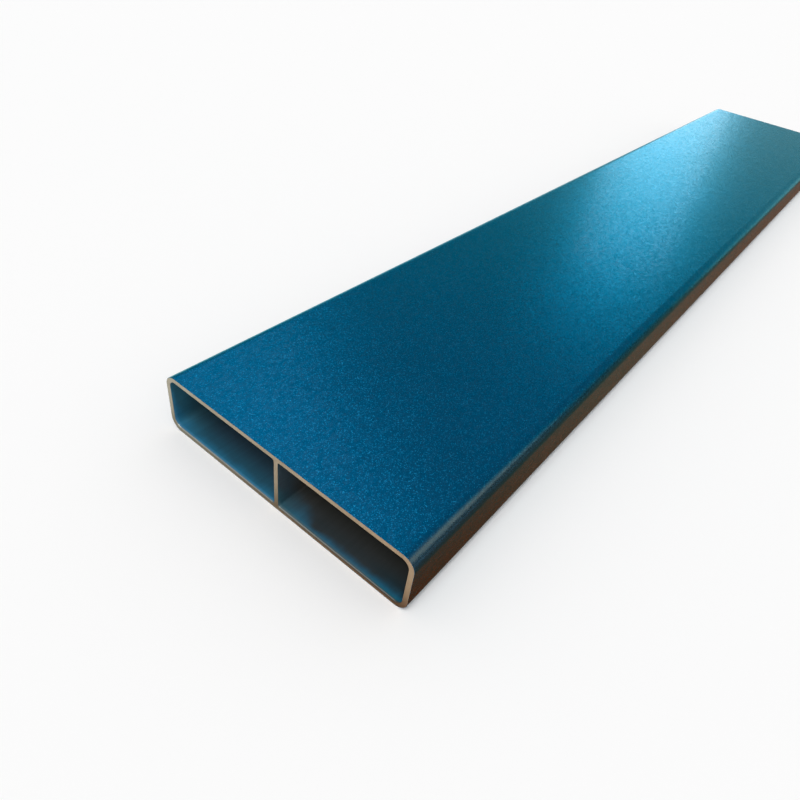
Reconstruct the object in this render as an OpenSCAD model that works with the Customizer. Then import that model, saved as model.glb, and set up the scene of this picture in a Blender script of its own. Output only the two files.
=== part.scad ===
// Flat rectangular hollow aluminium extrusion with one web: two equal cells side by side,
// rounded outer corners, and both ends sawn square.
// It lies on its wide face. X is across the section, Y along the length, Z up.
// The origin is at the middle of the face it rests on. Sizes are in millimetres.

/* [Stock] */
// Length that the bar is cut to
stock_length = 500; // [100:50:2000]

/* [Section] */
// Width over the two side walls
profile_w = 90; // [60:1:140]
// Height over the top and bottom walls
profile_h = 20; // [15:0.5:40]
// Radius of the four outer corners
corner_r = 4; // [2:0.5:6]

/* [Walls] */
// Thickness of the top and bottom walls
wall_t = 1.5; // [1:0.1:2.5]
// Thickness of the two side walls
side_t = 1.6; // [1:0.1:2.5]
// Thickness of the web between the cells
web_t = 1.4; // [1:0.1:2.5]
// Radius of the fillets at the foot and head of the web
web_fillet_r = 0.8; // [0.3:0.1:1.5]

/* [Hidden] */
$fn = 64;

// The cell corners run concentric with the outer corners, and are never sharper than the web fillets
cell_corner_r = max(corner_r - wall_t, web_fillet_r);

// Rectangle between two opposite corners, with one radius for its two left corners
// and one for its two right corners: flat sides joined by an arc at each corner
module rounded_rect(low, high, left_r, right_r) {
    polygon([
        [low.x, low.y + left_r], [low.x + left_r, low.y],
        [high.x - right_r, low.y], [high.x, low.y + right_r],
        [high.x, high.y - right_r], [high.x - right_r, high.y],
        [low.x + left_r, high.y], [low.x, high.y - left_r]
    ]);
    for (y = [low.y + left_r, high.y - left_r])
        translate([low.x + left_r, y]) circle(left_r);
    for (y = [low.y + right_r, high.y - right_r])
        translate([high.x - right_r, y]) circle(right_r);
}

// Outline of the whole bar, standing on the X axis
module bar_outline() {
    rounded_rect([-profile_w / 2, 0], [profile_w / 2, profile_h], corner_r, corner_r);
}

// The right-hand cell: from the web to the side wall, between the bottom and top walls
module cell_outline() {
    rounded_rect(
        [web_t / 2, wall_t],
        [profile_w / 2 - side_t, profile_h - wall_t],
        web_fillet_r, cell_corner_r
    );
}

// The section that the die gives: the bar less its two mirrored cells
module die_section() {
    difference() {
        bar_outline();
        for (side = [0, 1]) mirror([side, 0]) cell_outline();
    }
}

// The bar, pressed along Y and sawn at both ends
module profile() {
    color("#0b628f")
        rotate([90, 0, 0])
            linear_extrude(stock_length, center = true)
                die_section();
}

profile();
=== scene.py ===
import bpy
import math
import numpy as np
from mathutils import Matrix, Vector


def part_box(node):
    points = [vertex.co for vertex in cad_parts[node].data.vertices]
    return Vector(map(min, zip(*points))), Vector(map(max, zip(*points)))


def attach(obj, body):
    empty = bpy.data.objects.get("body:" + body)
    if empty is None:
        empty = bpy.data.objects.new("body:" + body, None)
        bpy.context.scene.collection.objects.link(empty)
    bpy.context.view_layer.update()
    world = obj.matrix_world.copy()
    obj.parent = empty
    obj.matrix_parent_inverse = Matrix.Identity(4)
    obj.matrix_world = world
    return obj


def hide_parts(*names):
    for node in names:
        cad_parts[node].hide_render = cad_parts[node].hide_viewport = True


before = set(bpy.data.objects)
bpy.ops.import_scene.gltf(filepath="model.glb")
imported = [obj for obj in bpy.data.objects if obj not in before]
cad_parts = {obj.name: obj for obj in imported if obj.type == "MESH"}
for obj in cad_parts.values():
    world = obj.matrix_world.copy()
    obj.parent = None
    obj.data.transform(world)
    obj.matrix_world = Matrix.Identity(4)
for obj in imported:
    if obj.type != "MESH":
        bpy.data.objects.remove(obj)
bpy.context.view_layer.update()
barLow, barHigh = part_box("profile")
mm = 0.001
print("frame loaded, bar", [round(s / mm, 1) for s in barHigh - barLow], "mm")


# Small tools

def linearColour(hexColour):
    # sRGB hex to the linear light that shaders take, with full alpha
    srgb = np.array([int(hexColour[i:i + 2], 16) for i in (1, 3, 5)]) / 255
    linear = np.where(srgb <= 0.04045, srgb / 12.92, ((srgb + 0.055) / 1.055) ** 2.4)
    return (*linear.tolist(), 1.0)


def addNode(tree, kind, settings=None, links=None):
    # settings go to the node's inputs or else to its own properties, links run from sockets to inputs
    node = tree.nodes.new(kind)
    for name, value in (settings or {}).items():
        if isinstance(name, int) or name in node.inputs:
            node.inputs[name].default_value = value
        else:
            setattr(node, name, value)
    for name, socket in (links or {}).items():
        tree.links.new(socket, node.inputs[name])
    return node


def startMaterial(name):
    # an empty material with its shader, its output and its object coordinates
    material = bpy.data.materials.new(name)
    material.use_nodes = True
    tree = material.node_tree
    tree.nodes.clear()
    shader = addNode(tree, "ShaderNodeBsdfPrincipled")
    addNode(tree, "ShaderNodeOutputMaterial", links={"Surface": shader.outputs["BSDF"]})
    coords = addNode(tree, "ShaderNodeTexCoord").outputs["Object"]
    return material, tree, shader, coords


def addAcross(tree, coords):
    # share of the way across the bar, 0 at its left side and 1 at its right side
    place = addNode(tree, "ShaderNodeSeparateXYZ", links={"Vector": coords})
    sides = {"From Min": barLow.x, "From Max": barHigh.x}
    return addNode(tree, "ShaderNodeMapRange", sides, {"Value": place.outputs["X"]}).outputs["Result"]


def addFromMiddle(tree, coords, axis):
    # how far a point is from the bar's middle along one axis, either way
    middle = dict(zip("XYZ", (barLow + barHigh) / 2))
    place = addNode(tree, "ShaderNodeSeparateXYZ", links={"Vector": coords})
    less = {"operation": "SUBTRACT", 1: middle[axis]}
    off = addNode(tree, "ShaderNodeMath", less, {0: place.outputs[axis]}).outputs["Value"]
    return addNode(tree, "ShaderNodeMath", {"operation": "ABSOLUTE"}, {0: off}).outputs["Value"]


def addDepth(tree, coords):
    # how far in from the nearer end, which is half the length less the way along from the middle
    inwards = {"operation": "SUBTRACT", 0: (barHigh.y - barLow.y) / 2}
    along = addFromMiddle(tree, coords, "Y")
    return addNode(tree, "ShaderNodeMath", inwards, {1: along}).outputs["Value"]


def bumpedMetal(tree, shader, look, colour, height):
    # even metal with a colour and a shallow relief
    relief = {"Strength": 1.0, "Distance": look["bumpMm"] * mm}
    bump = addNode(tree, "ShaderNodeBump", relief, {"Height": height})
    shader.inputs["Metallic"].default_value = look["metallic"]
    shader.inputs["Roughness"].default_value = look["roughness"]
    tree.links.new(colour, shader.inputs["Base Color"])
    tree.links.new(bump.outputs["Normal"], shader.inputs["Normal"])


noiseSpread = {"From Min": 0.3, "From Max": 0.7}   # most of what a noise texture gives lies in here


# Blasted, blue-dyed anodised aluminium: a satin metal with a fine frosted grain, deep blue where it is
# looked at steeply and paling to cyan at a flat angle, under a thin clear oxide film

blastedFinish = {
    "deep": "#004b70",       # dye in the pits
    "bright": "#00567f",     # dye on the crests
    "paintedGlint": "#167eae",      # painted glint: a lighter grain, put on those whose facets lean towards the near end
    "paintedGlintShare": 0.10,      # share of the grains that glint
    "thin": "#385a6e",       # painted sheen: paler and greyer on the round corners and the narrow sides, fullest near each end
    "greySheenShare": 0.85,
    "greySheenFadeMm": ((0.9, 2.2), (2.2, 4.0)),   # past the wide flats, none to full, at an end and further in
    "thinRunMm": (6.0, 80.0),     # from the one to the other along the bar
    "edgeTint": "#b8ffff",   # of what the metal mirrors at a flat angle
    "grainMm": 0.18,         # drawn at twice the real blast grain, so that it shows
    "cloudMm": 35.0,         # slow unevenness of the dye
    "cloudTone": 0.05,       # which makes it lighter or darker by this share
    "roughness": 0.285,
    "frost": 0.05,           # a grain's roughness is off by up to this, either way
    "fleckMm": (0.8, 1.6),   # coarser flecks of the blast, across and along, seen in the highlight
    "fleck": 0.02,           # a fleck's roughness is off by up to this, either way
    "facetLean": 0.10,       # slopes of the grains' faces spread over this much
    "fleckLean": 0.022,      # and those of the flecks over this much
    "film": 0.035,           # how much of the oxide film's own reflection shows, none to twice this
    "filmRoughness": 0.13,
    "filmIor": 1.6,          # aluminium oxide
}


def blastedAnodised(look):
    material, tree, shader, coords = startMaterial("anodised aluminium, blasted and dyed blue")
    # the dye: a tone of its own for each grain, a painted glint on a few of them, and slow clouds over all
    grainScale, cloudScale = 1 / (look["grainMm"] * mm), 1 / (look["cloudMm"] * mm)
    grain = addNode(tree, "ShaderNodeTexVoronoi", {"Scale": grainScale}, {"Vector": coords})
    cloud = addNode(tree, "ShaderNodeTexNoise", {"Scale": cloudScale, "Detail": 3.0}, {"Vector": coords})
    tone = addNode(tree, "ShaderNodeSeparateColor", links={"Color": grain.outputs["Color"]})
    dye = addNode(
        tree, "ShaderNodeMix",
        {"data_type": "RGBA", 6: linearColour(look["deep"]), 7: linearColour(look["bright"])},
        {0: tone.outputs["Red"]},
    )
    # the painted glint goes on the grains whose facets lean towards the near end, where the sun is
    rare = addNode(
        tree, "ShaderNodeMapRange", {"From Min": look["paintedGlintShare"], "From Max": look["paintedGlintShare"] / 2},
        {"Value": tone.outputs["Green"]},
    )
    sparkle = addNode(
        tree, "ShaderNodeMix", {"data_type": "RGBA", 7: linearColour(look["paintedGlint"])},
        {0: rare.outputs["Result"], 6: dye.outputs[2]},
    )
    uneven = addNode(
        tree, "ShaderNodeMapRange",
        {**noiseSpread, "To Min": 1 - look["cloudTone"], "To Max": 1 + look["cloudTone"]},
        {"Value": cloud.outputs["Fac"]},
    )
    # how far across a point is from the middle tells whether it is past the wide flats
    flatEnd = (barHigh.x - barLow.x) / 2 - barSettings["cornerR"]
    across, depth = addFromMiddle(tree, coords, "X"), addDepth(tree, coords)
    runFrom, runTo = (run * mm for run in look["thinRunMm"])
    fade = {}
    for socket, atEnd, furtherIn in zip(("From Min", "From Max"), *look["greySheenFadeMm"]):
        run = {
            "From Min": runFrom, "From Max": runTo,
            "To Min": flatEnd + atEnd * mm, "To Max": flatEnd + furtherIn * mm,
        }
        fade[socket] = addNode(tree, "ShaderNodeMapRange", run, {"Value": depth}).outputs["Result"]
    # the painted grey sheen on the corners and narrow sides, reaching further onto the corners near each end
    thin = addNode(
        tree, "ShaderNodeMapRange", {"interpolation_type": "SMOOTHSTEP", "To Max": look["greySheenShare"]},
        {"Value": across, **fade},
    )
    sheened = addNode(
        tree, "ShaderNodeMix", {"data_type": "RGBA", 7: linearColour(look["thin"])},
        {0: thin.outputs["Result"], 6: sparkle.outputs[2]},
    )
    colour = addNode(
        tree, "ShaderNodeVectorMath", {"operation": "SCALE"},
        {0: sheened.outputs[2], "Scale": uneven.outputs["Result"]},
    )
    # the shine: rougher or smoother from grain to grain and from fleck to fleck
    frost = addNode(
        tree, "ShaderNodeMapRange",
        {"To Min": look["roughness"] - look["frost"], "To Max": look["roughness"] + look["frost"]},
        {"Value": tone.outputs["Blue"]},
    )
    fleckX, fleckY = (1 / (size * mm) for size in look["fleckMm"])
    drawn = {"Scale": (fleckX, fleckY, fleckX)}
    stretched = addNode(tree, "ShaderNodeMapping", drawn, {"Vector": coords})
    fleck = addNode(tree, "ShaderNodeTexVoronoi", {"Scale": 1.0}, {"Vector": stretched.outputs["Vector"]})
    fleckTone = addNode(tree, "ShaderNodeSeparateColor", links={"Color": fleck.outputs["Color"]})

    def byFleck(start, end):
        # a value that lies between two ends, by the fleck's own tone
        ends = {"To Min": start, "To Max": end}
        share = {"Value": fleckTone.outputs["Red"]}
        return addNode(tree, "ShaderNodeMapRange", ends, share).outputs["Result"]

    rough = addNode(
        tree, "ShaderNodeMath", {"operation": "ADD"},
        {0: frost.outputs["Result"], 1: byFleck(-look["fleck"], look["fleck"])},
    )
    # each grain and each fleck is a flat facet of its own lean, which is what makes the blasted skin sparkle
    tipped = addNode(tree, "ShaderNodeNewGeometry").outputs["Normal"]
    for most, texture in ((look["facetLean"], grain), (look["fleckLean"], fleck)):
        lean = {"operation": "MULTIPLY_ADD", 1: (most,) * 3, 2: (-most / 2,) * 3}
        leaning = addNode(tree, "ShaderNodeVectorMath", lean, {0: texture.outputs["Color"]})
        pair = {0: tipped, 1: leaning.outputs["Vector"]}
        tipped = addNode(tree, "ShaderNodeVectorMath", {"operation": "ADD"}, pair).outputs["Vector"]
    facet = addNode(tree, "ShaderNodeVectorMath", {"operation": "NORMALIZE"}, {0: tipped})
    shader.inputs["Metallic"].default_value = 1.0
    shader.inputs["Specular Tint"].default_value = linearColour(look["edgeTint"])
    shader.inputs["Coat IOR"].default_value = look["filmIor"]
    shader.inputs["Coat Roughness"].default_value = look["filmRoughness"]
    tree.links.new(colour.outputs["Vector"], shader.inputs["Base Color"])
    tree.links.new(rough.outputs["Value"], shader.inputs["Roughness"])
    tree.links.new(byFleck(2 * look["film"], 0.0), shader.inputs["Coat Weight"])
    tree.links.new(facet.outputs["Vector"], shader.inputs["Normal"])
    return material


# The cell walls, which the blast didn't reach: as pressed, with lines that the die drew along the bar.
# The dye itself is blue all through, and the colour paints the light in the cells: paler at the very mouth,
# partly worn and partly a painted highlight where light catches the lip, bright blue just behind it where
# light falls in, and going over into darker, greyer painted shade further in, teal in the left cell and grey
# in the right one, which lies in deeper painted shade. Settings in fives are for the left cell beside its
# left wall and in the rest, and for the right cell beside the web, in the middle and beside its right wall

cellFinish = {
    "dye": ("#2788b2", "#2788b2", "#356a79", "#2788b2", "#0f86b0"),
    "litDyeDepthMm": (6.0, 4.0, 12.0, 3.2, 4.4),   # depth at which the painted light on the dye is gone into painted shade
    "litDyeHighMm": (14.0, 8.0),         # height above the floor to which it reaches, left and right
    # mouth: paler at the lip, partly worn dye and partly a painted highlight, darker in the right cell as
    # painted shade
    "mouth": ("#5599c0", "#5599c0", "#6c8b94", "#556f78", "#276979"),
    "mouthMm": (0.3, 1.2),            # depth from the pale mouth to full dye
    "mouthHighMm": (14.0, 2.0),       # height to which the mouth is pale, left and right
    "leastHigh": 0.05,                # share that is left of either from that height up
    # dull and bare: painted shade further in, bare the darkest and deepest, greyer in the right cell
    "dull": ("#36748a", "#2a5e74", "#465761", "#363f43", "#263a42"),
    "bare": ("#3f6a78", "#3f5b6c", "#585650", "#4d4e4b", "#4d4e4b"),
    "deepShadeMm": (4.0, 9.0),             # depth from dull to the darkest painted shade
    "besideMm": 11.0,                 # from beside the left wall or the web to the rest of the cell
    "besideRightMm": (14.0, 6.0),     # and from there to beside the right wall
    "patchMm": 5.0,                   # the painted light reaches in further here and there
    "patchReach": (0.7, 1.3),         # least and most, as shares of its depth
    "dieLineMm": 0.9,                 # width of the die's lines
    "dieRunMm": 90.0,                 # and how far one runs
    "dieLineTone": 0.07,              # a line is lighter or darker by this share
    "metallic": 0.4,
    "roughness": 0.5,
    "bumpMm": 0.01,
}


def pressedAnodised(look):
    material, tree, shader, coords = startMaterial("anodised aluminium, as pressed and dyed blue")
    acrossScale, alongScale = 1 / (look["dieLineMm"] * mm), 1 / (look["dieRunMm"] * mm)
    drawn = {"Scale": (acrossScale, alongScale, acrossScale)}
    stretched = addNode(tree, "ShaderNodeMapping", drawn, {"Vector": coords})
    fine = {"Scale": 1.0, "Detail": 3.0}
    lines = addNode(tree, "ShaderNodeTexNoise", fine, {"Vector": stretched.outputs["Vector"]}).outputs["Fac"]
    depth = addDepth(tree, coords)
    place = addNode(tree, "ShaderNodeSeparateXYZ", links={"Vector": coords})
    # each of the five places goes over into the next: within the left cell, in the web, within the right cell
    middleX, webHalf, beside = (barHigh.x + barLow.x) / 2, barSettings["web"] / 2, look["besideMm"] * mm
    leftWall, webLeft, webRight = barLow.x + barSettings["side"], middleX - webHalf, middleX + webHalf
    rightFrom, rightTo = (barHigh.x - barSettings["side"] - d * mm for d in look["besideRightMm"])
    steps = (
        (leftWall, leftWall + beside), (webLeft, webRight),
        (webRight, webRight + beside), (rightFrom, rightTo),
    )
    shares = [
        addNode(
            tree, "ShaderNodeMapRange", {"From Min": a, "From Max": b}, {"Value": place.outputs["X"]},
        ).outputs["Result"]
        for a, b in steps
    ]
    inRight = shares[1]

    def byPlace(colours):
        # one colour out of five, by the place across the bar
        first, *others = (linearColour(c) for c in colours)
        paint = addNode(tree, "ShaderNodeRGB").outputs["Color"]
        paint.default_value = first
        for share, other in zip(shares, others):
            mixed = {"data_type": "RGBA", 7: other}
            paint = addNode(tree, "ShaderNodeMix", mixed, {0: share, 6: paint}).outputs[2]
        return paint

    def byDepth(fromMm, toMm):
        # share from 0 to 1 between two depths
        run = {"From Min": fromMm * mm, "From Max": toMm * mm}
        return addNode(tree, "ShaderNodeMapRange", run, {"Value": depth}).outputs["Result"]

    first, *others = (d * mm for d in look["litDyeDepthMm"])
    litDepth = addNode(tree, "ShaderNodeValue").outputs["Value"]
    litDepth.default_value = first
    for share, other in zip(shares, others):
        litDepth = addNode(
            tree, "ShaderNodeMapRange", {"To Max": other}, {"Value": share, "To Min": litDepth},
        ).outputs["Result"]
    floorZ = barLow.z + barSettings["wall"]

    def byHeight(leftMm, rightMm):
        # share from 1 on the floor to next to nothing at a height of its own in each cell
        tops = {"To Min": floorZ + leftMm * mm, "To Max": floorZ + rightMm * mm}
        top = addNode(tree, "ShaderNodeMapRange", tops, {"Value": inRight}).outputs["Result"]
        run = {"From Min": floorZ, "To Min": 1.0, "To Max": look["leastHigh"]}
        here = {"Value": place.outputs["Z"], "From Max": top}
        return addNode(tree, "ShaderNodeMapRange", run, here).outputs["Result"]

    patchScale, (leastReach, mostReach) = 1 / (look["patchMm"] * mm), look["patchReach"]
    patch = addNode(tree, "ShaderNodeTexNoise", {"Scale": patchScale, "Detail": 2.0}, {"Vector": coords})
    reach = addNode(
        tree, "ShaderNodeMapRange", {**noiseSpread, "To Min": leastReach, "To Max": mostReach},
        {"Value": patch.outputs["Fac"]},
    )
    times = {"operation": "MULTIPLY"}
    litDepthLow = addNode(tree, "ShaderNodeMath", times, {0: litDepth, 1: byHeight(*look["litDyeHighMm"])})
    patchy = {0: litDepthLow.outputs["Value"], 1: reach.outputs["Result"]}
    litDepthHere = addNode(tree, "ShaderNodeMath", times, patchy)
    # the painted light on the dye falls off as the square of what is left of its depth, so that it has no
    # hard edge
    left = addNode(
        tree, "ShaderNodeMapRange", {"To Min": 1.0, "To Max": 0.0},
        {"Value": depth, "From Max": litDepthHere.outputs["Value"]},
    ).outputs["Result"]
    dyed = addNode(tree, "ShaderNodeMath", times, {0: left, 1: left})
    # the pale mouth, partly wear and partly painted highlight, low on the walls
    atMouth = byDepth(*reversed(look["mouthMm"]))
    mouthWearAndHighlight = addNode(tree, "ShaderNodeMath", times, {0: atMouth, 1: byHeight(*look["mouthHighMm"])})
    # dull, then bare deeper in, are painted shade; over them go the lit dye and the pale mouth
    colour = byPlace(look["dull"])
    layers = (
        (byDepth(*look["deepShadeMm"]), byPlace(look["bare"])),
        (dyed.outputs["Value"], byPlace(look["dye"])),
        (mouthWearAndHighlight.outputs["Value"], byPlace(look["mouth"])),
    )
    for share, layer in layers:
        mixed = addNode(tree, "ShaderNodeMix", {"data_type": "RGBA"}, {0: share, 6: colour, 7: layer})
        colour = mixed.outputs[2]
    tones = {**noiseSpread, "To Min": 1 - look["dieLineTone"], "To Max": 1 + look["dieLineTone"]}
    tone = addNode(tree, "ShaderNodeMapRange", tones, {"Value": lines})
    lined = {0: colour, "Scale": tone.outputs["Result"]}
    colour = addNode(tree, "ShaderNodeVectorMath", {"operation": "SCALE"}, lined).outputs["Vector"]
    bumpedMetal(tree, shader, look, colour, lines)
    return material


# Bare aluminium, sawn after anodising: a dull grey, with a painted warm reflection towards the right, and
# fine parallel marks of the blade

sawnFinish = {
    "dull": "#a79d84",
    "clean": "#c4bda6",
    "paintedReflectionTint": ("#f0f2f6", "#f9e0d1"),   # painted reflection: cool at the left and warm at the right side
    "patchMm": 3.0,          # size of the clean and the dull patches
    "markMm": 0.45,          # spacing of the saw marks
    "waver": 3.0,            # how much they stray
    "leanDeg": 12.0,         # the blade's marks lean off the upright
    "metallic": 1.0,
    "roughness": 0.46,
    "bumpMm": 0.012,
}


def sawnAluminium(look):
    material, tree, shader, coords = startMaterial("bare aluminium, sawn")
    lean = math.radians(look["leanDeg"])
    turned = addNode(tree, "ShaderNodeMapping", {"Rotation": (0.0, lean, 0.0)}, {"Vector": coords})
    # at scale 1 a wave texture has a band every tenth of pi, so this gives the spacing in millimetres
    markScale = 2 * math.pi / (20 * look["markMm"] * mm)
    marks = addNode(
        tree, "ShaderNodeTexWave",
        {"Scale": markScale, "Distortion": look["waver"], "Detail": 3.0, "Detail Scale": 2.0},
        {"Vector": turned.outputs["Vector"]},
    )
    patchScale = 1 / (look["patchMm"] * mm)
    patches = addNode(tree, "ShaderNodeTexNoise", {"Scale": patchScale, "Detail": 4.0}, {"Vector": coords})
    metal = addNode(
        tree, "ShaderNodeMix",
        {"data_type": "RGBA", 6: linearColour(look["dull"]), 7: linearColour(look["clean"])},
        {0: patches.outputs["Fac"]},
    )
    reflectionLeft, reflectionRight = (linearColour(c) for c in look["paintedReflectionTint"])
    sides = {"data_type": "RGBA", 6: reflectionLeft, 7: reflectionRight}
    paintedReflectionTint = addNode(tree, "ShaderNodeMix", sides, {0: addAcross(tree, coords)})
    colour = addNode(
        tree, "ShaderNodeMix", {"data_type": "RGBA", "blend_type": "MULTIPLY", 0: 1.0},
        {6: metal.outputs[2], 7: paintedReflectionTint.outputs[2]},
    )
    bumpedMetal(tree, shader, look, colour.outputs[2], marks.outputs["Fac"])
    return material


# Bare aluminium, deburred by hand: the inner edges of the cut along the cells' floors, paler at the left than
# at the right, where the darker colour is painted shade, and finely scratched, so that they glint softly

lipFinish = {
    "left": "#aeb2aa",       # at the bar's left side
    # darker at the right side: painted shade
    "right": "#60625e",
    "scratchMm": 0.25,       # size of the scratches
    "metallic": 1.0,
    "roughness": 0.45,
    "bumpMm": 0.008,
}


def deburredAluminium(look):
    material, tree, shader, coords = startMaterial("bare aluminium, deburred")
    colour = addNode(
        tree, "ShaderNodeMix",
        {"data_type": "RGBA", 6: linearColour(look["left"]), 7: linearColour(look["right"])},
        {0: addAcross(tree, coords)},
    )
    fine = {"Scale": 1 / (look["scratchMm"] * mm), "Detail": 2.0}
    scratches = addNode(tree, "ShaderNodeTexNoise", fine, {"Vector": coords})
    bumpedMetal(tree, shader, look, colour.outputs[2], scratches.outputs["Fac"])
    return material


# The bar: its section carried along Y, with the sawn edges broken by a small quarter round

barSettings = {
    "wall": 1.5 * mm,         # top and bottom walls
    "side": 1.6 * mm,
    "web": 1.4 * mm,
    "cornerR": 4.0 * mm,
    "cellR": 2.5 * mm,        # a cell's corners at the side wall
    "filletR": 0.8 * mm,      # at the foot and head of the web
    "skinBreak": 0.08 * mm,   # the saw rolled the skin over the outer edge
    "cellBreak": 0.05 * mm,   # inner edge as the saw left it
    "floorBreak": 0.36 * mm,  # and along a cell's floor, where it was deburred
    "lipFrom": 0.1,           # share of the growth from which the edge counts as deburred
    "flatSteps": 16,          # along each wide wall of a cell
    "arcSteps": 20,           # round each corner
    "sideSteps": 6,
    "filletSteps": 4,         # for each half of a web fillet
    "breakSteps": 4,          # round each sawn edge
    "stations": 26,           # along the bar
    "capRings": 3,            # of quads on a sawn end, from a cell to the skin
    "weld": 0.001 * mm,       # points that agree to this are one
}
skinSlot, cellSlot, sawnSlot, lipSlot = range(4)   # the bar's material slots


def straightRun(start, end, normal, steps):
    # points from start up to but not including end, all with one normal
    share = np.arange(steps)[:, None] / steps
    points = (1 - share) * np.array(start) + share * np.array(end)
    return points, np.tile(np.array(normal, float), (steps, 1))


def arcRun(centre, radius, fromDeg, toDeg, steps, facing):
    # points on an arc up to but not including its end, normals outwards (facing 1) or inwards (facing -1)
    angle = np.radians(fromDeg + (toDeg - fromDeg) * np.arange(steps) / steps)
    ray = np.stack([np.cos(angle), np.sin(angle)], axis=1)
    return np.array(centre) + radius * ray, facing * ray


def joinRuns(runs):
    points, normals = zip(*runs)
    return np.concatenate(points), np.concatenate(normals)


def halfSection(s, width, height):
    # Two closed loops for the right half, point matched to point, each as (x, z) with normals out of the
    # metal: the skin from the bottom middle round the side to the top middle and back down the middle of
    # the web, and the cell that lies inside it
    half, wall, right, webX = width / 2, s["wall"], width / 2 - s["side"], s["web"] / 2
    cornerR, cellR, filletR = s["cornerR"], s["cellR"], s["filletR"]
    flat, arc, side, fillet = s["flatSteps"], s["arcSteps"], s["sideSteps"], s["filletSteps"]
    footX, footZ, headZ = webX + filletR, wall + filletR, height - wall - filletR
    skin = joinRuns([
        straightRun((0, 0), (footX, 0), (0, -1), fillet),
        straightRun((footX, 0), (half - cornerR, 0), (0, -1), flat),
        arcRun((half - cornerR, cornerR), cornerR, -90, 0, arc, 1),
        straightRun((half, cornerR), (half, height - cornerR), (1, 0), side),
        arcRun((half - cornerR, height - cornerR), cornerR, 0, 90, arc, 1),
        straightRun((half - cornerR, height), (footX, height), (0, 1), flat),
        straightRun((footX, height), (0, height), (0, 1), fillet),
        straightRun((0, height), (0, headZ), (0, 1), 1),   # the top middle, the last point that shows
        straightRun((0, height + (headZ - height) / fillet), (0, headZ), (0, 0), fillet - 1),
        straightRun((0, headZ), (0, footZ), (0, 0), side),
        straightRun((0, footZ), (0, 0), (0, 0), fillet),
    ])
    cell = joinRuns([
        arcRun((footX, footZ), filletR, 225, 270, fillet, -1),
        straightRun((footX, wall), (right - cellR, wall), (0, 1), flat),
        arcRun((right - cellR, wall + cellR), cellR, -90, 0, arc, -1),
        straightRun((right, wall + cellR), (right, height - wall - cellR), (-1, 0), side),
        arcRun((right - cellR, height - wall - cellR), cellR, 0, 90, arc, -1),
        straightRun((right - cellR, height - wall), (footX, height - wall), (0, -1), flat),
        arcRun((footX, headZ), filletR, 90, 135, fillet, -1),
        arcRun((footX, headZ), filletR, 135, 180, fillet, -1),
        straightRun((webX, headZ), (webX, footZ), (1, 0), side),
        arcRun((footX, footZ), filletR, 180, 225, fillet, -1),
    ])
    skinCount = 2 * (flat + arc + fillet) + side + 1   # the points that show, up to the top middle
    return skin, cell, skinCount


def carry(loop, normals, edgeBreak, s, length):
    # Each point of the outline runs along Y at its own place, but near an end it turns in by its own edge
    # break. At a turn from 0 on the cut to 90 degrees on the wall it lies in from the end by the break times
    # one less the cosine, and is drawn back along its normal by the break times one less the sine
    turn = np.radians(np.linspace(0, 90, s["breakSteps"] + 1))[:, None]
    reach = length / 2 - edgeBreak * (1 - np.cos(turn))
    inner = np.linspace(-reach.min(), reach.min(), s["stations"])[1:-1, None]
    still = np.zeros((len(inner), len(loop)))
    y = np.concatenate([-reach, inner + still, reach[::-1]])
    back = edgeBreak * (1 - np.sin(turn))
    drawn = np.concatenate([back, still, back[::-1]])[..., None]
    lean = np.concatenate([-np.cos(turn) + still[:1], still, np.cos(turn[::-1]) + still[:1]])
    section = loop - drawn * normals
    points = np.stack([section[..., 0], y, section[..., 1]], axis=2)
    upright = np.sqrt(1 - lean ** 2)
    facing = np.stack([normals[:, 0] * upright, lean, normals[:, 1] * upright], axis=2)
    return points, facing


def gridQuads(rows, columns, closed):
    # quads of a rows by columns grid of points, with the last column joined to the first if closed
    i, j = np.meshgrid(np.arange(rows - 1), np.arange(columns if closed else columns - 1), indexing="ij")
    nextJ = (j + 1) % columns
    here, above = i * columns, (i + 1) * columns
    return np.stack([here + j, here + nextJ, above + nextJ, above + j], axis=2).reshape(-1, 4)


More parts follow.
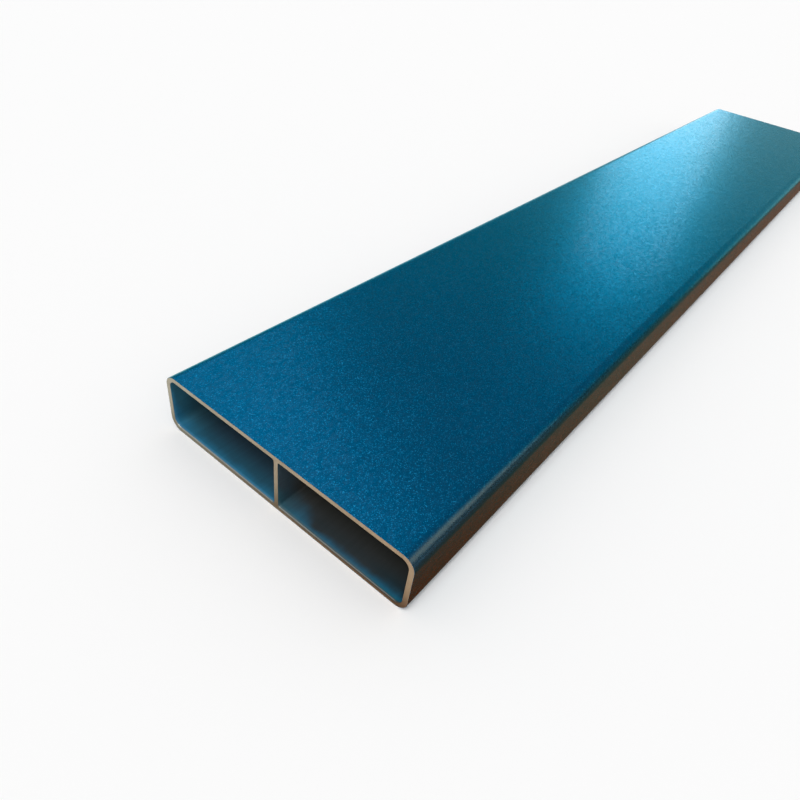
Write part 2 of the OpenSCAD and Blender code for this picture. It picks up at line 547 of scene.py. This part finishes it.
def buildBar(s, low, high):
    width, length, height = high - low
    (skin, skinN), (cell, cellN), skinCount = halfSection(s, width, height)
    surfaces = []   # points, normals, quads, slot of each quad

    def addSurface(points, normals, quads, slots):
        surfaces.append((points.reshape(-1, 3), normals.reshape(-1, 3), quads, slots))

    skinBreak = np.full(len(skin), s["skinBreak"])
    # the inner edge's break grows with the square of how far the wall looks up
    upwards = np.maximum(cellN[:, 1], 0) ** 2
    cellBreak = s["cellBreak"] + (s["floorBreak"] - s["cellBreak"]) * upwards
    points, facing = carry(skin[:skinCount], skinN[:skinCount], skinBreak[:skinCount], s, length)
    quads = gridQuads(points.shape[0], skinCount, False)[:, ::-1]   # the skin looks outwards
    addSurface(points, facing, quads, np.full(len(quads), skinSlot))
    points, facing = carry(cell, cellN, cellBreak, s, length)
    quads = gridQuads(points.shape[0], len(cell), True)
    row, column = np.divmod(np.arange(len(quads)), len(cell))
    fromEnd = np.minimum(row, row[-1] - row)
    edgeSlot = np.where(upwards > s["lipFrom"], lipSlot, sawnSlot)
    addSurface(points, facing, quads, np.where(fromEnd < s["breakSteps"], edgeSlot[column], cellSlot))
    # each sawn end is a ring of quads, straight from the cell's loop to the skin's
    share = np.linspace(0, 1, s["capRings"] + 1)[:, None, None]
    cellEdge, skinEdge = cell - cellBreak[:, None] * cellN, skin - skinBreak[:, None] * skinN
    ring = (1 - share) * cellEdge[None] + share * skinEdge[None]
    quads = gridQuads(len(share), ring.shape[1], True)
    for end in (-1, 1):
        y = np.full(ring.shape[:2], end * length / 2)
        points = np.stack([ring[..., 0], y, ring[..., 1]], axis=2)
        facing = np.zeros_like(points)
        facing[..., 1] = end
        addSurface(points, facing, quads[:, ::-1] if end < 0 else quads, np.full(len(quads), sawnSlot))
    print("half section", len(skin), "points,", len(surfaces), "surfaces")
    # the left half is the right one mirrored, with its quads turned round
    mirror = np.array([-1.0, 1.0, 1.0])
    surfaces += [(p * mirror, n * mirror, q[:, ::-1], m) for p, n, q, m in surfaces]
    points, normals, quads, slots = zip(*surfaces)
    starts = np.cumsum([0] + [len(p) for p in points[:-1]])
    quads = np.concatenate([q + start for q, start in zip(quads, starts)])
    points, normals, slots = np.concatenate(points), np.concatenate(normals), np.concatenate(slots)
    # seams are welded where points meet
    whole = np.round(points / s["weld"]).astype(np.int64)
    _, first, same = np.unique(whole, axis=0, return_index=True, return_inverse=True)
    points, normals, quads = points[first], normals[first], same.reshape(-1)[quads]
    restMiddle = np.array([(low.x + high.x) / 2, (low.y + high.y) / 2, low.z])
    mesh = bpy.data.meshes.new("extrudedBar")
    mesh.from_pydata(points + restMiddle, [], quads)
    mesh.polygons.foreach_set("material_index", slots.astype(np.int32))
    mesh.polygons.foreach_set("use_smooth", np.ones(len(quads), bool))
    mesh.update()
    mesh.normals_split_custom_set_from_vertices(normals / np.linalg.norm(normals, axis=1)[:, None])
    print("bar", len(points), "points,", len(quads), "quads, valid", not mesh.validate())
    return mesh


barMesh = buildBar(barSettings, barLow, barHigh)
finishes = (   # in the order of the slots
    blastedAnodised(blastedFinish), pressedAnodised(cellFinish), sawnAluminium(sawnFinish),
    deburredAluminium(lipFinish),
)
for finish in finishes:
    barMesh.materials.append(finish)
print("finishes", [finish.name for finish in finishes])
bar = bpy.data.objects.new("extrudedBar", barMesh)
bpy.context.scene.collection.objects.link(bar)
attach(bar, "root")
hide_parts("profile")


# Stage: a pale floor, and brown cards at the right and in front that only the bar's reflections see

stageSettings = {
    "floorReach": 20.0,              # metres each way
    "floorDrop": 0.1 * mm,           # it lies this far under the bar, and the cards this far off it
    "floorColour": "#fafafa",
    "sheetRoughness": 0.9,           # floor and cards are dull
    "tableNear": "#e64a1f",          # lying card, at the near end close beside the bar
    "tableAhead": 3.0 * mm,          # it begins this far ahead of the cut
    "tableAlong": "#d87354",         # further along
    "tableAlongRun": 120.0 * mm,
    "tableFar": "#a87868",           # and further out
    "tableFarRun": 20.0 * mm,
    "tableWidth": 160.0 * mm,
    # a strip that only the cut end mirrors: a painted reflection of a brown table, darker at the right as
    # painted shade
    "frontLeft": "#b8b4ac",          # lying strip before the cut, at the bar's left side
    "frontRight": "#7a6254",         # and at its right side
    "frontWidth": 4.5 * mm,
    "frontPast": 6.0 * mm,           # it begins this far to the left of the bar
    "screenColour": "#8a7a6c",       # upright card
    "screenAzimuthDeg": (22, 66),
    "screenElevationDeg": (0, 13),
    "screenDistance": 0.7,           # metres
}


def towards(azimuthDeg, elevationDeg):
    # unit vector from the bar, azimuth clockwise from +Y seen from above
    a, e = math.radians(azimuthDeg), math.radians(elevationDeg)
    return Vector((math.sin(a) * math.cos(e), math.cos(a) * math.cos(e), math.sin(e)))


def plainSheet(name, corners, colour):
    mesh = bpy.data.meshes.new(name)
    mesh.from_pydata(corners, [], [(0, 1, 2, 3)])
    material, tree, shader, coords = startMaterial(name)
    shader.inputs["Base Color"].default_value = linearColour(colour)
    shader.inputs["Roughness"].default_value = stageSettings["sheetRoughness"]
    shader.inputs["Specular IOR Level"].default_value = 0.0
    mesh.materials.append(material)
    sheet = bpy.data.objects.new(name, mesh)
    bpy.context.scene.collection.objects.link(sheet)
    return sheet, tree, shader, coords


def flatCorners(low, high, z):
    return [(low[0], low[1], z), (high[0], low[1], z), (high[0], high[1], z), (low[0], high[1], z)]


def onlyReflected(sheet):
    sheet.visible_camera = sheet.visible_diffuse = sheet.visible_shadow = sheet.visible_transmission = False


def blendedCard(name, low, high, colour, blends):
    # a card on the floor whose colour goes over into others, each along an axis from one place to another
    card, tree, shader, coords = plainSheet(name, flatCorners(low, high, barLow.z), colour)
    place = addNode(tree, "ShaderNodeSeparateXYZ", links={"Vector": coords})
    paint = addNode(tree, "ShaderNodeRGB").outputs["Color"]
    paint.default_value = linearColour(colour)
    for axis, fromPlace, toPlace, other in blends:
        run = {"From Min": fromPlace, "From Max": toPlace}
        share = addNode(tree, "ShaderNodeMapRange", run, {"Value": place.outputs[axis]})
        mixed = {"data_type": "RGBA", 7: linearColour(other)}
        paint = addNode(tree, "ShaderNodeMix", mixed, {0: share.outputs["Result"], 6: paint}).outputs[2]
    tree.links.new(paint, shader.inputs["Base Color"])
    onlyReflected(card)


def buildStage(s):
    reach, drop = s["floorReach"], s["floorDrop"]
    plainSheet("paleFloor", flatCorners((-reach, -reach), (reach, reach), barLow.z - drop), s["floorColour"])
    inner, outer = barHigh.x + drop, barHigh.x + s["tableWidth"]
    tableLow = (inner, barLow.y - s["tableAhead"])
    tableHigh = (outer, barHigh.y + s["tableWidth"])
    blendedCard(
        "brownTable", tableLow, tableHigh, s["tableNear"],
        [
            ("Y", barLow.y, barLow.y + s["tableAlongRun"], s["tableAlong"]),
            ("X", inner, inner + s["tableFarRun"], s["tableFar"]),
        ],
    )
    blendedCard(
        "brownFront", (barLow.x - s["frontPast"], barLow.y - s["frontWidth"]), (barHigh.x, barLow.y - drop),
        s["frontLeft"], [("X", barLow.x, barHigh.x, s["frontRight"])],
    )
    nearEnd = Vector(((barLow.x + barHigh.x) / 2, barLow.y, barLow.z))
    (fromAz, toAz), (fromEl, toEl) = s["screenAzimuthDeg"], s["screenElevationDeg"]
    upright = [
        nearEnd + s["screenDistance"] * towards(az, el)
        for az, el in ((fromAz, fromEl), (toAz, fromEl), (toAz, toEl), (fromAz, toEl))
    ]
    onlyReflected(plainSheet("brownScreen", upright, s["screenColour"])[0])


buildStage(stageSettings)
print("stage set")


# Lights: a dome that pales to white at the horizon and a broad sun from the camera's side.
# The three soft boxes only show in reflections

lampSettings = {
    "domeLevel": 0.52,
    "horizonLevel": 1.0,
    "horizonDeg": 10.0,      # the dome has its own level from this height up
    "sun": {
        "level": 1.7, "azimuthDeg": 165.0, "elevationDeg": 66.0, "distance": 2.0,
        "spreadDeg": 30.0,
    },
    "boxes": {               # distances and sizes in metres
        "farBox": {
            "level": 3.4, "azimuthDeg": -15.3, "elevationDeg": 13.0, "distance": 4.0,
            "size": (0.58, 1.70), "colour": "#ffdbe8",
        },
        "leftBox": {
            "level": 0.88, "azimuthDeg": -75.0, "elevationDeg": 55.0, "distance": 4.0,
            "size": (3.26, 3.26), "colour": "#ffffff",
        },
        "warmBox": {
            "level": 2.2, "azimuthDeg": 52.0, "elevationDeg": 32.0, "distance": 4.0,
            "size": (1.27, 2.00), "colour": "#ffab74",
        },
    },
}


def addLamp(name, kind, s, aim):
    lamp = bpy.data.lights.new(name, kind)
    where = towards(s["azimuthDeg"], s["elevationDeg"])
    if kind == "SUN":
        lamp.energy = s["level"]
        lamp.angle = math.radians(s["spreadDeg"])
    else:
        lamp.shape = "RECTANGLE"
        lamp.size, lamp.size_y = s["size"]
        lamp.energy = s["level"] * math.pi * lamp.size * lamp.size_y   # level is the panel's brightness
        lamp.color = linearColour(s["colour"])[:3]
    holder = bpy.data.objects.new(name, lamp)
    holder.location = aim + where * s["distance"]
    holder.rotation_euler = where.to_track_quat("Z", "Y").to_euler()
    holder.visible_camera = False
    holder.visible_diffuse = kind == "SUN"
    bpy.context.scene.collection.objects.link(holder)


def buildLights(s):
    world = bpy.data.worlds.new("studio")
    world.use_nodes = True
    tree = world.node_tree
    tree.nodes.clear()
    direction = addNode(tree, "ShaderNodeTexCoord").outputs["Generated"]
    height = addNode(tree, "ShaderNodeSeparateXYZ", links={"Vector": direction})
    level = addNode(
        tree, "ShaderNodeMapRange",
        {
            "interpolation_type": "SMOOTHSTEP", "From Max": math.sin(math.radians(s["horizonDeg"])),
            "To Min": s["horizonLevel"], "To Max": s["domeLevel"],
        },
        {"Value": height.outputs["Z"]},
    )
    white = {"Color": linearColour("#ffffff")}
    glow = addNode(tree, "ShaderNodeBackground", white, {"Strength": level.outputs["Result"]})
    addNode(tree, "ShaderNodeOutputWorld", links={"Surface": glow.outputs["Background"]})
    bpy.context.scene.world = world
    middle = (barLow + barHigh) / 2
    addLamp("frontSun", "SUN", s["sun"], middle)
    for name, box in s["boxes"].items():
        addLamp(name, "AREA", box, middle)


buildLights(lampSettings)
print("lights set")


# Camera, where the photograph was taken from

cameraSettings = {
    "fromNearEnd": Vector((81.6, -72.4, 134.2)) * mm,   # from the middle of the near end's lower edge
    "azimuthDeg": 33.40,     # looks this far to the left of +Y
    "downDeg": 40.34,
    "rollDeg": 9.10,
    "lens": 27.98,
    "sensor": 36.0,
    "clipStart": 10.0 * mm,
}


def buildCamera(s):
    camera = bpy.data.objects.new("photoCamera", bpy.data.cameras.new("photoCamera"))
    camera.data.lens, camera.data.sensor_width = s["lens"], s["sensor"]
    camera.data.clip_start = s["clipStart"]
    nearEnd = Vector(((barLow.x + barHigh.x) / 2, barLow.y, barLow.z))
    turn = (
        Matrix.Rotation(math.radians(s["azimuthDeg"]), 4, "Z")
        @ Matrix.Rotation(math.radians(90 - s["downDeg"]), 4, "X")
        @ Matrix.Rotation(math.radians(s["rollDeg"]), 4, "Z")
    )
    camera.matrix_world = Matrix.Translation(nearEnd + s["fromNearEnd"]) @ turn
    bpy.context.scene.collection.objects.link(camera)
    bpy.context.scene.camera = camera


buildCamera(cameraSettings)
bpy.context.scene.view_settings.view_transform = "Standard"
print("camera set")
